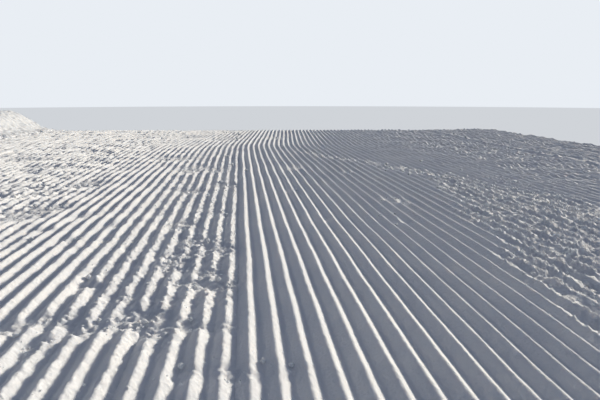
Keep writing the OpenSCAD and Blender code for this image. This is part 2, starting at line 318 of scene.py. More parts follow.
# Places where spilled snow has broken the ridges down: u, s, radius, strength
spills = [
    (-0.12, 0.490, 0.052, 1.0), (-0.16, 0.460, 0.030, 0.9), (-0.065, 0.430, 0.030, 1.0),
    (-0.21, 0.455, 0.032, 0.9), (-0.27, 0.505, 0.030, 0.9), (-0.32, 0.50, 0.030, 0.8),
    (-0.28, 0.390, 0.030, 0.8), (-0.38, 0.465, 0.035, 0.7), (-0.005, 0.445, 0.026, 0.8),
    (0.04, 0.435, 0.020, 0.6), (0.085, 0.42, 0.020, 0.5), (-0.285, 0.70, 0.022, 0.8),
    (0.095, 0.252, 0.026, 0.5), (0.145, 0.245, 0.028, 0.5), (0.20, 0.238, 0.024, 0.4),
    (0.01, 0.258, 0.022, 0.5), (-0.09, 0.81, 0.042, 0.9), (0.01, 0.675, 0.032, 0.9),
    (0.055, 0.655, 0.032, 0.9), (0.085, 0.655, 0.026, 0.9), (-0.05, 0.695, 0.026, 0.7),
    (-0.02, 0.78, 0.030, 0.7), (0.03, 0.75, 0.030, 0.8), (-0.17, 0.60, 0.022, 0.7),
    (-0.08, 0.90, 0.05, 0.8), (-0.04, 1.04, 0.05, 0.8), (0.05, 0.96, 0.04, 0.7),
    (-0.12, 1.28, 0.06, 0.8), (-0.47, 1.12, 0.03, 0.6), (-0.60, 1.25, 0.03, 0.6),
    (-0.36, 1.30, 0.03, 0.6), (-0.52, 1.45, 0.04, 0.6), (-0.20, 2.72, 0.12, 0.8),
    (-0.05, 2.68, 0.10, 0.7), (0.02, 2.10, 0.06, 0.8), (-0.16, 1.95, 0.07, 0.8),
    (0.83, 1.60, 0.05, 0.9), (0.86, 1.55, 0.04, 0.9), (0.74, 1.20, 0.03, 0.6),
    (0.46, 1.30, 0.02, 0.6), (0.36, 1.90, 0.03, 0.7), (0.50, 2.70, 0.06, 0.8),
    (0.46, 2.60, 0.05, 0.7), (0.80, 2.45, 0.04, 0.7), (-0.72, 1.60, 0.08, 0.9),
    (-0.78, 1.50, 0.10, 0.9), (-0.75, 2.20, 0.10, 0.9), (-0.42, 3.30, 0.12, 0.8),
    (-1.20, 2.90, 0.14, 0.8), (-1.55, 3.40, 0.16, 0.8), (-0.17, 5.10, 0.16, 0.7),
    (-0.60, 5.30, 0.16, 0.7), (0.48, 5.20, 0.16, 0.7),
]
# Heaps thrown up by the skis, lit from the far side: u, s, radius, roughly how many mm high
heaps = [
    (1.60, 1.56, 0.04, 16), (1.50, 1.42, 0.04, 16), (1.39, 1.27, 0.04, 16), (1.28, 1.12, 0.035, 15),
    (1.18, 0.98, 0.03, 14), (1.34, 1.56, 0.03, 14), (1.24, 1.38, 0.03, 14), (1.13, 1.20, 0.03, 13),
    (1.03, 1.03, 0.025, 12), (1.32, 1.80, 0.04, 15), (1.25, 1.76, 0.03, 13), (1.39, 1.87, 0.03, 13),
    (1.52, 1.75, 0.03, 12), (1.11, 0.76, 0.04, 15), (1.18, 0.82, 0.04, 15), (1.05, 0.70, 0.03, 13),
    (1.24, 0.70, 0.04, 14), (0.83, 1.60, 0.02, 9), (0.86, 1.55, 0.02, 9), (0.66, 1.29, 0.018, 8),
    (1.46, 1.16, 0.03, 12), (1.55, 1.30, 0.03, 12),
]
crumbs = {
    "perSquareMetre": 14000,
    # what each kind of wear carries of that
    "chopped": 0.12,
    "joint": 0.12,
    "frayed": 0.14,
    "spill": 1.3,
    "belt": 0.5,
    "heap": 0.2,
    "uncombed": 0.1,
    "offCrests": 0.8,       # share of a spill's crumbs that its crests go without
    "thinning": (2.4, 4.2),
    "thinned": 0.3,         # share that is left further along
    "least": 2.2 * mm,
    "spread": 6 * mm,
    "rareness": 3,          # the higher, the fewer large ones
    "growth": 0.6,          # further along they are drawn fewer and larger by this much for each metre
    "growsFrom": 0.6,
    "growthChopped": 0.8,
    "growthBelt": 0.3,
    "patches": 9,           # per metre
    "patchSpan": (0.42, 0.62),
    "patchLeast": 0.15,
    "fewest": 60,           # a piece that would get fewer than this stays bare
    "seed": 11,
    "shapes": ((1, 0.8, 0.7), (0.9, 1, 0.75), (1.1, 0.75, 0.85), (0.85, 0.9, 0.9)),
    "uneven": 0.16,
}
# the second attribute marks the sawn sides, which the materials paint with a darker shade
lightShare, cutShadeFace = "lightShare", "cutShadeFace"  # the two attributes that stay, read by the snow materials
maskNames = set()


def storeMasks(piece, masks):
    for name, value in masks.items():
        layer = piece.data.attributes.new(name, "FLOAT", "POINT")
        layer.data.foreach_set("value", value.astype(np.float32))
        maskNames.add(name)


def dropAttributes(piece, names):
    for name in [a.name for a in piece.data.attributes if a.name in names]:
        piece.data.attributes.remove(piece.data.attributes[name])


def paintLightShare(piece):
    # light may sink in everywhere but beside the piece's own sides, where it would draw a dark seam
    u, s, z = places(piece).T
    aside = np.minimum(np.minimum(u - u.min(), u.max() - u), np.minimum(s - s.min(), s.max() - s))
    layer = piece.data.attributes.new(lightShare, "FLOAT", "POINT")
    layer.data.foreach_set("value", smooth(0, 14 * mm, aside).astype(np.float32))


def strongestSpot(u, s, spots, fall):
    # the spots' strength at each point, as it falls with the squared distance over the squared radius
    strongest = np.zeros_like(u)
    for spotU, spotS, radius, strength in spots:
        apart = ((u - spotU) ** 2 + (s - spotS) ** 2) / radius ** 2
        strongest = np.maximum(strongest, strength * fall(apart))
    return strongest


def paintMasks(piece, combed=True, lift=0):
    # stores, at each point, how much each kind of wear has hold of it
    u, s, z = places(piece).T
    crest = np.clip((z - comb["grooveLevel"] - lift) / comb["height"], 0, 1)
    if not combed:
        crest = np.full_like(u, 0.5)
    top = (z > comb["grooveLevel"] - hair).astype(float)
    inside = smooth(course["left"], course["left"] + course["sideFade"], u)
    inside *= 1 - smooth(course["right"] - course["sideFade"], course["right"], u)

    pathS, pathU, pathHalf = np.array(skidPath).T
    middle = np.interp(s, pathS, pathU)
    half = np.interp(s, pathS, pathHalf)
    fadeInside, fadeOutside = relief["skidEdge"]
    belt = (1 - smooth(half - fadeInside, half + fadeOutside, np.abs(u - middle))) * (half > 0)

    joint = smooth(*relief["jointLeft"], u) * (1 - smooth(*relief["jointRight"], u))
    joint *= between(relief["jointBefore"], 1, smooth(*relief["jointStart"], s))
    frayed = joint * smooth(*relief["frayedStart"], s)

    patch = relief["choppedLeft"]
    choppedLeft = (1 - smooth(*patch["u"], u)) * smooth(*patch["s"], s)
    patch = relief["choppedRight"]
    chopped = choppedLeft + smooth(*patch["u"], u) * smooth(*patch["s"], s)

    ragged = between(relief["raggedRight"], relief["raggedLeft"], 1 - smooth(*relief["raggedTurn"], u))
    ragged = ragged + relief["raggedBeyond"] * smooth(*relief["beyond"], u)
    ragged = ragged + relief["raggedAhead"] * smooth(*relief["ahead"], s)
    ragged *= between(relief["raggedBefore"], 1, smooth(*relief["raggedStart"], s))

    spill = strongestSpot(u, s, spills, lambda apart: np.exp(-0.5 * apart ** 2))
    heap = strongestSpot(u, s, heaps, lambda apart: np.exp(-apart))

    coarse = (
        1 + crumbs["growth"] * np.clip(s - crumbs["growsFrom"], 0, None)
        + crumbs["growthChopped"] * choppedLeft + crumbs["growthBelt"] * belt
    )
    loose = (
        crumbs["chopped"] * choppedLeft + crumbs["joint"] * joint + crumbs["frayed"] * frayed
        + crumbs["spill"] * spill * (1 - crumbs["offCrests"] * crest)
        + crumbs["belt"] * belt + crumbs["heap"] * heap
    )
    if not combed:
        loose = np.full_like(u, crumbs["uncombed"])
    loose = loose * between(1, crumbs["thinned"], smooth(*crumbs["thinning"], s)) / coarse ** 2

    storeMasks(piece, {
        "sway": top * inside,
        "loose": top * loose,
        "coarse": coarse,
        "ragged": top * crest * ragged,
        "chopped": top * chopped,
        "joint": top * joint,
        "jointCrest": top * joint * crest,
        "frayed": top * crest * frayed,
        "spillGroove": top * spill * (1 - crest),
        "spillCrest": top * spill * crest,
        "spill": top * spill,
        "belt": top * belt,
        "beltCrest": top * belt * crest,
        "beltGroove": top * belt * (1 - crest),
        "heap": top * heap,
        "grain": top,
    })


# Each term pushes the snow sideways and up by so much where its mask holds: mask, kind of noise (smooth, or
# lumps with creases between them), repeats per metre across and along, detail, noise range used, patches per
# metre, mm sideways, mm up where the noise is low and where it is high
reliefTerms = [
    ("sway", "smooth", (0.3, 1.7), 1, (0.25, 0.75), None, 7.0, 0.0, 0.0),
    ("sway", "smooth", (4.0, 6.0), 1, (0.25, 0.75), None, 1.0, -0.5, 0.5),
    ("ragged", "smooth", (24, 20), 2, (0.3, 0.7), None, 0.5, -0.3, 0.3),
    ("ragged", "smooth", (85, 75), 2, (0.3, 0.7), None, 1.3, -0.8, 0.6),
    ("ragged", "lumps", (48, 40), 0, (0.0, 0.6), 5, 1.5, 1.0, -3.0),
    ("grain", "smooth", (140, 130), 1, (0.3, 0.7), None, 0.5, -0.4, 0.4),
    ("chopped", "smooth", (24, 22), 2, (0.3, 0.7), None, 6.0, -7.0, 7.0),
    ("chopped", "lumps", (36, 30), 0, (0.0, 0.6), 5, 0.0, 6.0, -9.0),
    ("joint", "smooth", (26, 22), 2, (0.3, 0.7), None, 1.0, -0.6, 0.6),
    ("jointCrest", "smooth", (20, 18), 1, (0.3, 0.55), 9, 0.0, -6.0, 0.5),
    ("joint", "smooth", (110, 100), 1, (0.3, 0.7), 8, 2.5, -2.0, 1.5),
    ("joint", "lumps", (75, 70), 0, (0.0, 0.6), 11, 2.0, 4.0, -3.0),
    ("joint", "lumps", (150, 140), 0, (0.0, 0.6), None, 0.5, 1.4, -1.4),
    ("spillCrest", "smooth", (30, 28), 1, (0.3, 0.7), None, 1.0, -14.0, -4.0),
    ("spillGroove", "smooth", (34, 30), 1, (0.3, 0.7), None, 0.0, 0.0, 11.0),
    ("spill", "lumps", (68, 62), 0, (0.0, 0.6), None, 2.0, 4.5, -4.5),
    ("spill", "lumps", (130, 120), 0, (0.0, 0.6), None, 1.0, 2.5, -2.5),
    ("belt", "smooth", (6, 8), 2, (0.3, 0.7), None, 5.0, -1.0, 1.0),
    ("beltCrest", "smooth", (16, 14), 1, (0.35, 0.6), None, 0.0, -7.0, 2.0),
    ("beltGroove", "smooth", (14, 12), 2, (0.4, 0.65), None, 0.0, 2.0, 12.0),
    ("belt", "lumps", (58, 52), 0, (0.0, 0.6), 7, 2.0, 8.0, -4.0),
    ("belt", "lumps", (105, 96), 0, (0.0, 0.6), None, 1.5, 6.5, -4.5),
    ("heap", "lumps", (70, 66), 0, (0.0, 0.6), None, 0.1, 1.4, 0.1),
    ("frayed", "smooth", (80, 44), 2, (0.36, 0.64), None, 4.0, -4.5, 1.0),
]
sawing = {
    "waves": ((3, 5), (14, 5), (60, 2.5)),  # repeats per metre and mm deep
    "flatter": 2.2,
    "span": (0.3, 0.7),
    "foot": 30 * mm,                        # the lowest part, where they fade to nothing
}


def newGroup(name):
    # a geometry group with one geometry in and one out; gives the group and its entry
    group = bpy.data.node_groups.new(name, "GeometryNodeTree")
    for way in ("INPUT", "OUTPUT"):
        group.interface.new_socket("Geometry", in_out=way, socket_type="NodeSocketGeometry")
    return group, addNode(group, "NodeGroupInput")


def makeReliefGroup():
    group, entry = newGroup("snow relief")
    point = addNode(group, "GeometryNodeInputPosition")
    push = None
    for seed, (mask, kind, repeats, detail, span, patches, side, low, high) in enumerate(reliefTerms):
        held = addNode(group, "GeometryNodeInputNamedAttribute", {"Name": mask}, data_type="FLOAT")
        scaled = addNode(
            group, "ShaderNodeVectorMath",
            {0: point, 1: (*repeats, 0), 2: [seed * step for step in relief["seedStep"]]},
            operation="MULTIPLY_ADD",
        )
        if kind == "lumps":
            noise = addNode(group, "ShaderNodeTexVoronoi", {"Vector": scaled, "Scale": 1})
        else:
            noise = addNode(group, "ShaderNodeTexNoise", {"Vector": scaled, "Scale": 1, "Detail": detail})
        least, most = span
        share = addNode(group, "ShaderNodeMapRange", {"Value": noise, "From Min": least, "From Max": most})
        if patches:
            wide = addNode(group, "ShaderNodeTexNoise", {"Vector": point, "Scale": patches, "Detail": 2})
            least, most = relief["patchSpan"]
            patch = addNode(group, "ShaderNodeMapRange", {"Value": wide, "From Min": least, "From Max": most})
            held = addNode(group, "ShaderNodeMath", {0: held, 1: patch}, operation="MULTIPLY")
        offset = addNode(
            group, "ShaderNodeVectorMath",
            {0: (side * mm, 0, (high - low) * mm), 1: share, 2: (-side * mm / 2, 0, low * mm)},
            operation="MULTIPLY_ADD",
        )
        push = addNode(
            group, "ShaderNodeVectorMath", {0: offset, 1: held, 2: push or (0, 0, 0)},
            operation="MULTIPLY_ADD",
        )
    moved = addNode(group, "GeometryNodeSetPosition", {"Geometry": entry, "Offset": push})
    addNode(group, "NodeGroupOutput", {0: moved})
    return group


def makeCutGroup():
    # saws the block's outer sides a little uneven, always inwards
    group, entry = newGroup("cut sides")
    point = addNode(group, "GeometryNodeInputPosition")
    push = None
    inwards = {"cutLeft": (1, 0, 0), "cutRight": (-1, 0, 0), "cutNear": (0, 1, 0), "cutFar": (0, -1, 0)}
    least, most = sawing["span"]
    for mask, way in inwards.items():
        held = addNode(group, "GeometryNodeInputNamedAttribute", {"Name": mask}, data_type="FLOAT")
        for scale, depth in sawing["waves"]:
            flat = addNode(
                group, "ShaderNodeVectorMath", {0: point, 1: (1, 1, sawing["flatter"])}, operation="MULTIPLY",
            )
            noise = addNode(group, "ShaderNodeTexNoise", {"Vector": flat, "Scale": scale, "Detail": 2})
            even = addNode(group, "ShaderNodeMapRange", {"Value": noise, "From Min": least, "From Max": most})
            amount = addNode(group, "ShaderNodeMath", {0: held, 1: even}, operation="MULTIPLY")
            push = addNode(
                group, "ShaderNodeVectorMath",
                {0: Vector(way) * depth * mm, 1: amount, 2: push or (0, 0, 0)}, operation="MULTIPLY_ADD",
            )
    moved = addNode(group, "GeometryNodeSetPosition", {"Geometry": entry, "Offset": push})
    addNode(group, "NodeGroupOutput", {0: moved})
    return group


def makeCourseGroup():
    # lays what was modelled straight along the bend, in the frame's own place
    group, entry = newGroup("along the piste")
    point = addNode(group, "GeometryNodeInputPosition")
    parts = addNode(group, "ShaderNodeSeparateXYZ", {0: point})
    turned = addNode(
        group, "ShaderNodeMapRange",
        {"Value": parts.outputs[1], "From Min": nearEnd, "From Max": bendEnd,
         "To Min": 0, "To Max": -course["bendAngle"]},
    )
    upToBend = addNode(group, "ShaderNodeMath", {0: parts.outputs[1], 1: nearEnd}, operation="MINIMUM")
    pastBend = addNode(group, "ShaderNodeMath", {0: parts.outputs[1], 1: bendEnd}, operation="SUBTRACT")
    pastBend = addNode(group, "ShaderNodeMath", {0: pastBend, 1: 0}, operation="MAXIMUM")
    along = addNode(group, "ShaderNodeMath", {0: upToBend, 1: pastBend}, operation="ADD")
    straight = addNode(group, "ShaderNodeCombineXYZ", {0: parts.outputs[0], 1: along, 2: parts.outputs[2]})
    bent = addNode(
        group, "ShaderNodeVectorRotate",
        {"Vector": straight, "Center": (course["bendRadius"], nearEnd, 0), "Angle": turned},
        rotation_type="Z_AXIS",
    )
    placed = addNode(group, "ShaderNodeVectorMath", {0: bent, 1: origin}, operation="ADD")
    moved = addNode(group, "GeometryNodeSetPosition", {"Geometry": entry, "Position": placed})
    addNode(group, "NodeGroupOutput", {0: moved})
    return group


reliefGroup = makeReliefGroup()
cutGroup = makeCutGroup()
courseGroup = makeCourseGroup()


def paintCuts(piece):
    # marks the points on the block's outer cut sides
    u, s, z = places(piece).T
    free = smooth(0, sawing["foot"], z)
    cuts = {
        "cutLeft": (u < course["left"] + hair) * free,
        "cutRight": (u > course["right"] - hair) * free,
        "cutNear": (s < hair) * free,
        "cutFar": (s > pisteEnd - hair) * free,
    }
    storeMasks(piece, cuts)
    # the sawn sides, where the snow materials paint a darker shade
    layer = piece.data.attributes.new(cutShadeFace, "FLOAT", "POINT")
    layer.data.foreach_set("value", np.max(list(cuts.values()), axis=0).astype(np.float32))


crumbShapes = bpy.data.collections.new("crumb shapes")
bpy.context.scene.collection.children.link(crumbShapes)
for number, squeeze in enumerate(crumbs["shapes"]):
    deselectAll()
    bpy.ops.mesh.primitive_uv_sphere_add(segments=5, ring_count=3, radius=0.5)
    shape = bpy.context.object
    bpy.ops.object.mode_set(mode="EDIT")
    bpy.ops.mesh.select_all(action="SELECT")
    bpy.ops.transform.vertex_random(offset=crumbs["uneven"], seed=number + 1)
    bpy.ops.transform.resize(value=squeeze)
    bpy.ops.object.mode_set(mode="OBJECT")
    for holder in list(shape.users_collection):
        holder.objects.unlink(shape)
    crumbShapes.objects.link(shape)


def makeCrumbGroup():
    # strews crumbs over a surface as thick as its mask "loose" says, half sunk in
    group, entry = newGroup("loose crumbs")
    seed = crumbs["seed"]
    loose = addNode(group, "GeometryNodeInputNamedAttribute", {"Name": "loose"}, data_type="FLOAT")
    coarse = addNode(group, "GeometryNodeInputNamedAttribute", {"Name": "coarse"}, data_type="FLOAT")
    wide = addNode(group, "ShaderNodeTexNoise", {"Scale": crumbs["patches"], "Detail": 2})
    patch = addNode(group, "ShaderNodeMapRange", {
        "Value": wide, "From Min": crumbs["patchSpan"][0], "From Max": crumbs["patchSpan"][1],
        "To Min": crumbs["patchLeast"],
    })
    thick = addNode(group, "ShaderNodeMath", {0: loose, 1: patch}, operation="MULTIPLY")
    thick = addNode(group, "ShaderNodeMath", {0: thick, 1: crumbs["perSquareMetre"]}, operation="MULTIPLY")
    strewn = addNode(
        group, "GeometryNodeDistributePointsOnFaces", {"Mesh": entry, "Density": thick, "Seed": seed},
    )
    chance = addNode(group, "FunctionNodeRandomValue", {"Seed": seed + 1}, data_type="FLOAT")
    rare = addNode(group, "ShaderNodeMath", {0: chance.outputs[1], 1: crumbs["rareness"]}, operation="POWER")
    size = addNode(
        group, "ShaderNodeMath", {0: rare, 1: crumbs["spread"], 2: crumbs["least"]}, operation="MULTIPLY_ADD",
    )
    size = addNode(group, "ShaderNodeMath", {0: size, 1: coarse}, operation="MULTIPLY")
    turned = addNode(
        group, "FunctionNodeRandomValue", {"Max": (2 * pi, 2 * pi, 2 * pi), "Seed": seed + 2},
        data_type="FLOAT_VECTOR",
    )
    shapes = addNode(group, "GeometryNodeCollectionInfo", {
        "Collection": crumbShapes, "Separate Children": True, "Reset Children": True,
    })
    laid = addNode(group, "GeometryNodeInstanceOnPoints", {
        "Points": strewn, "Instance": shapes, "Pick Instance": True, "Rotation": turned.outputs[0],
        "Scale": size,
    })
    real = addNode(group, "GeometryNodeRealizeInstances", {"Geometry": laid})
    addNode(group, "NodeGroupOutput", {0: real})
    return group


crumbGroup = makeCrumbGroup()
crumbHeaps = {}


def runGroup(piece, group):
    modifier = piece.modifiers.new(group.name, "NODES")
    modifier.node_group = group
    applyAll(piece)


def strewCrumbs(piece, heapName):
    loose = np.empty(len(piece.data.vertices))
    piece.data.attributes["loose"].data.foreach_get("value", loose)
    expected = loose.mean() * piece.dimensions.x * piece.dimensions.y * crumbs["perSquareMetre"]
    if expected < crumbs["fewest"]:
        return
    activate(piece)
    bpy.ops.object.duplicate()
    strewn = bpy.context.object
    runGroup(strewn, crumbGroup)
    dropAttributes(strewn, maskNames | {lightShare, cutShadeFace})
    crumbHeaps.setdefault(heapName, []).append(strewn)


def workUp(piece, combed=True, lift=0, relieved=True, crumbHeap=None):
    # relief, cut sides, course and crumbs, then clean shading
    paintCuts(piece)
    if relieved:
        paintLightShare(piece)
        paintMasks(piece, combed, lift)
        runGroup(piece, reliefGroup)
    runGroup(piece, cutGroup)
    runGroup(piece, courseGroup)
    if crumbHeap:
        strewCrumbs(piece, crumbHeap)
    dropAttributes(piece, maskNames)
    editPoints(piece, np.ones(len(piece.data.vertices), bool))
    bpy.ops.mesh.remove_doubles(threshold=0.01 * mm)
    bpy.ops.mesh.normals_make_consistent(inside=False)
    bpy.ops.object.mode_set(mode="OBJECT")
    bpy.ops.object.shade_smooth_by_angle(angle=radians(75))


def finishPiece(piece, name, snow, slot, *nodes):
    piece.name = piece.data.name = name
    piece.data.materials.clear()
    piece.data.materials.append(snow)
    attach(piece, "root")
    if nodes:
        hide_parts(*nodes)


# Snow materials: grain and lump are sizes, their depths the strength of the bumps. Layers sets how thin the
# level bands are, glow how far light spreads inside, depth how much of it sinks in, through how much passes.
# Cut gives the colours of the
# sawn sides: painted shade, which keeps them darker than the top under the low lamp.

looks = {
    # machine-tilled snow: rounded 1 to 3 mm grains, drawn at 4 mm so that they show; bright and quite matte
    "tilled": {
        "pale": "#ebecee", "deep": "#e4e6ea", "cut": ("#d2d8df", "#c0c8d2"), "roughness": 0.75,
        "grain": 4 * mm, "grainDepth": 0.7, "lump": 16 * mm, "lumpDepth": 0.5,
        "glow": 9 * mm, "depth": 0.65,
    },
    # snow packed by tracks: fine, dense, with thin level layers in the cut
    "packed": {
        "pale": "#d3d9e0", "deep": "#b2bfcc", "roughness": 0.7, "layers": 70,
        "grain": 4 * mm, "grainDepth": 0.5, "lump": 22 * mm, "lumpDepth": 0.5,
    },
    # old refrozen snow: grey-blue, coarse, with clear icy bands
    "old": {
        "pale": "#c4ccd6", "deep": "#8a9cb0", "roughness": 0.55, "layers": 45,
        "grain": 6 * mm, "grainDepth": 0.8, "lump": 30 * mm, "lumpDepth": 0.6,
    },
    # natural snow smoothed by wind: soft, with no grain to be seen from a few steps
    "wind": {
        "pale": "#ebedf0", "deep": "#e3e7ec", "cut": ("#d0d7df", "#a9b6c6"), "roughness": 0.8, "layers": 30,
        "grain": 5 * mm, "grainDepth": 0.35, "lump": 40 * mm, "lumpDepth": 0.5,
        "glow": 9 * mm, "depth": 0.65,
    },
    # clods of broken crust: the tilled snow's grains, with fresh rough faces
    "clod": {
        "pale": "#eeeff1", "deep": "#e6e9ed", "roughness": 0.75,
        "grain": 4 * mm, "grainDepth": 0.4, "lump": 12 * mm, "lumpDepth": 0.3,
        "glow": 7 * mm, "depth": 0.9, "through": 0.3,
    },
    # loose crumbs: small enough for the low light to shine through them
    "crumb": {
        "pale": "#f2f3f4", "deep": "#eaecef", "roughness": 0.75,
        "grain": 3 * mm, "grainDepth": 0.1, "lump": 8 * mm, "lumpDepth": 0.05,
        "glow": 7 * mm, "depth": 0.9, "through": 0.5,
    },
}
everySnow = {
    "patches": 5,              # per metre, between the pale and the deep colour
    "patchSpan": (0.35, 0.65),
    "bandSpan": (0.38, 0.62),
    "bandShare": 0.65,         # in a snow with layers they make this much of the shade, the patches the rest
    "lumpHeight": 0.3,         # of its size
    "grainHeight": 0.7,        # of its size
}


def snowMaterial(name, look):
    snow = bpy.data.materials.new(name)
    snow.use_nodes = True
    tree = snow.node_tree
    tree.nodes.clear()
    where = addNode(tree, "ShaderNodeTexCoord").outputs["Object"]
    patch = addNode(tree, "ShaderNodeTexNoise", {"Vector": where, "Scale": everySnow["patches"], "Detail": 3})
    least, most = everySnow["patchSpan"]
    shade = addNode(tree, "ShaderNodeMapRange", {"Value": patch, "From Min": least, "From Max": most})
    if "layers" in look:
        # level bands: noise squeezed flat, seen in the cut sides
        bandShare = everySnow["bandShare"]
        squeezed = addNode(
            tree, "ShaderNodeVectorMath", {0: where, 1: (0.7, 0.7, look["layers"])}, operation="MULTIPLY",
        )
        bands = addNode(tree, "ShaderNodeTexNoise", {"Vector": squeezed, "Scale": 1, "Detail": 2})
        least, most = everySnow["bandSpan"]
        band = addNode(tree, "ShaderNodeMapRange", {"Value": bands, "From Min": least, "From Max": most})
        shade = addNode(tree, "ShaderNodeMath", {0: shade, 1: 1 - bandShare}, operation="MULTIPLY")
        shade = addNode(tree, "ShaderNodeMath", {0: band, 1: bandShare, 2: shade}, operation="MULTIPLY_ADD")
    colour = addNode(
        tree, "ShaderNodeMix", {0: shade, 6: linear(look["pale"]), 7: linear(look["deep"])}, data_type="RGBA",
    ).outputs[2]
    # painted shade: the sawn sides take the darker cut colours so that the low lamp does not burn them out;
    # the bands in the bank's cut are its real layers
    if "cut" in look:
        sawnShade = addNode(tree, "ShaderNodeAttribute", attribute_name=cutShadeFace).outputs["Fac"]
        pale, deep = look["cut"]
        inside = addNode(
            tree, "ShaderNodeMix", {0: shade, 6: linear(pale), 7: linear(deep)}, data_type="RGBA",
        ).outputs[2]
        colour = addNode(tree, "ShaderNodeMix", {0: sawnShade, 6: colour, 7: inside}, data_type="RGBA").outputs[2]

    lumpScale = 1 / look["lump"] / 2
    lumps = addNode(tree, "ShaderNodeTexNoise", {"Vector": where, "Scale": lumpScale, "Detail": 2})
    coarse = addNode(tree, "ShaderNodeBump", {
        "Height": lumps, "Distance": look["lump"] * everySnow["lumpHeight"], "Strength": look["lumpDepth"],
    })
    grainScale = 1 / look["grain"] / 2
    grains = addNode(tree, "ShaderNodeTexNoise", {"Vector": where, "Scale": grainScale, "Detail": 2})
    fine = addNode(tree, "ShaderNodeBump", {
        "Height": grains, "Distance": look["grain"] * everySnow["grainHeight"],
        "Strength": look["grainDepth"], "Normal": coarse,
    })
    body = addNode(tree, "ShaderNodeBsdfPrincipled", {
        "Base Color": colour, "Roughness": look["roughness"], "Normal": fine, "IOR": 1.31,
        "Specular IOR Level": 0.15, "Sheen Weight": 0.25, "Sheen Roughness": 0.4,
    })
    if "depth" in look:
        body.inputs["Subsurface Radius"].default_value = (1, 0.95, 0.9)
        body.inputs["Subsurface Scale"].default_value = look["glow"]
        body.inputs["Subsurface Weight"].default_value = look["depth"]
        if "through" not in look:
            share = addNode(tree, "ShaderNodeAttribute", attribute_name=lightShare).outputs["Fac"]
            depth = addNode(tree, "ShaderNodeMath", {0: share, 1: look["depth"]}, operation="MULTIPLY")
            tree.links.new(depth.outputs[0], body.inputs["Subsurface Weight"])
    if "through" in look:
        lit = addNode(tree, "ShaderNodeBsdfTranslucent", {"Color": colour, "Normal": fine})
        body = addNode(tree, "ShaderNodeMixShader", {0: look["through"], 1: body, 2: lit})
    addNode(tree, "ShaderNodeOutputMaterial", {"Surface": body})
    return snow


tilledSnow = snowMaterial("machine-tilled granular snow", looks["tilled"])
packedSnow = snowMaterial("track-packed fine snow", looks["packed"])
oldSnow = snowMaterial("refrozen old snow", looks["old"])
windSnow = snowMaterial("wind-smoothed natural snow", looks["wind"])
clodSnow = snowMaterial("broken snow crust", looks["clod"])
crumbSnow = snowMaterial("loose snow crumbs", looks["crumb"])
print("snow materials made")

# Combed mats

roundSum = comb["crestRadius"] + comb["grooveRadius"]
flankSpan = hypot(comb["pitch"] / 2, roundSum - comb["height"])
flankAngle = asin(roundSum / flankSpan) - atan2(roundSum - comb["height"], comb["pitch"] / 2)
grooveHalf = comb["grooveRadius"] * sin(flankAngle)
crestHalf = comb["crestRadius"] * sin(flankAngle)


def ridgeHeight(t):
    # height above the grooves at a distance from the nearest groove's middle
    if t <= grooveHalf:
        return comb["grooveRadius"] - sqrt(comb["grooveRadius"] ** 2 - t * t)
    if t < comb["pitch"] / 2 - crestHalf:
        return comb["grooveRadius"] * (1 - cos(flankAngle)) + (t - grooveHalf) * tan(flankAngle)
    fromCrest = comb["pitch"] / 2 - t
    return comb["height"] - comb["crestRadius"] + sqrt(comb["crestRadius"] ** 2 - fromCrest ** 2)


# Where the columns of half a ridge stand, from a groove's middle to the crest: close together on its curve
columnsOf = {
    "fine": [0, 3.5 * mm, 8 * mm, 13 * mm, 18 * mm, 21 * mm, 23 * mm, 25 * mm],
    "middle": [0, 4 * mm, 11 * mm, 18 * mm, 22 * mm, 25 * mm],
    "plain": [0, 5 * mm, 13 * mm, 20.5 * mm, 25 * mm],
}


def arrayOut(piece, count, step, axis):
    array = piece.modifiers.new("row", "ARRAY")
    array.count = count
    array.use_relative_offset = False
    array.use_constant_offset = True
    array.constant_offset_displace = [step if i == axis else 0 for i in range(3)]
    array.use_merge_vertices = True
    array.merge_threshold = 0.05 * mm
    applyAll(piece)


def closeDown(piece, levels):
    # draws the open rim down in steps, each flattened onto its level, and closes the bottom
    activate(piece)
    bpy.ops.object.mode_set(mode="EDIT")
    bpy.ops.mesh.select_mode(type="EDGE")
    bpy.ops.mesh.select_all(action="DESELECT")
    bpy.ops.mesh.select_non_manifold(
        extend=False, use_wire=False, use_boundary=True, use_multi_face=False, use_non_contiguous=False,
        use_verts=False,
    )
    for level in levels:
        bpy.ops.mesh.extrude_region_move(TRANSFORM_OT_translate={"value": (0, 0, -10 * mm)})
        bpy.ops.transform.resize(value=(1, 1, 0), center_override=(0, 0, level))
    bpy.ops.mesh.edge_face_add()
    bpy.ops.object.mode_set(mode="OBJECT")


def combedMat(firstU, ridges, sFrom, sTo, rowStep, columns, crumbHeap=None, lift=0):
    # one short piece of one ridge, repeated across and along
    half = columnsOf[columns]
    segments = 2 * len(half) - 2
    rows = round((sTo - sFrom) / rowStep)
    step = (sTo - sFrom) / rows
    deselectAll()
    bpy.ops.mesh.primitive_grid_add(
        x_subdivisions=segments, y_subdivisions=1, size=1,
        location=(firstU + comb["pitch"] / 2, sFrom + step / 2, comb["grooveLevel"] + lift),
    )
    piece = bpy.context.object
    piece.scale = (comb["pitch"], step, 1)
    bpy.ops.object.transform_apply(location=True, scale=True)
    evenly = [firstU + comb["pitch"] * column / segments for column in range(segments + 1)]
    whole = half + [comb["pitch"] - t for t in half[-2::-1]]
    across = places(piece)[:, 0]
    for column in range(1, segments):
        t = min(whole[column], comb["pitch"] - whole[column])
        editPoints(piece, np.abs(across - evenly[column]) < hair)
        bpy.ops.transform.translate(value=(firstU + whole[column] - evenly[column], 0, ridgeHeight(t)))
        bpy.ops.object.mode_set(mode="OBJECT")
    arrayOut(piece, ridges, comb["pitch"], 0)
    arrayOut(piece, rows, step, 1)
    closeDown(piece, comb["sideLevels"])
    workUp(piece, lift=lift, crumbHeap=crumbHeap)
    return piece


# The near stretch's mats come in rows, finer where the camera is near, that end at these s
lipEnd, foreEnd, walkEnd, midEnd = 0.22, 0.62, 1.10, 2.20
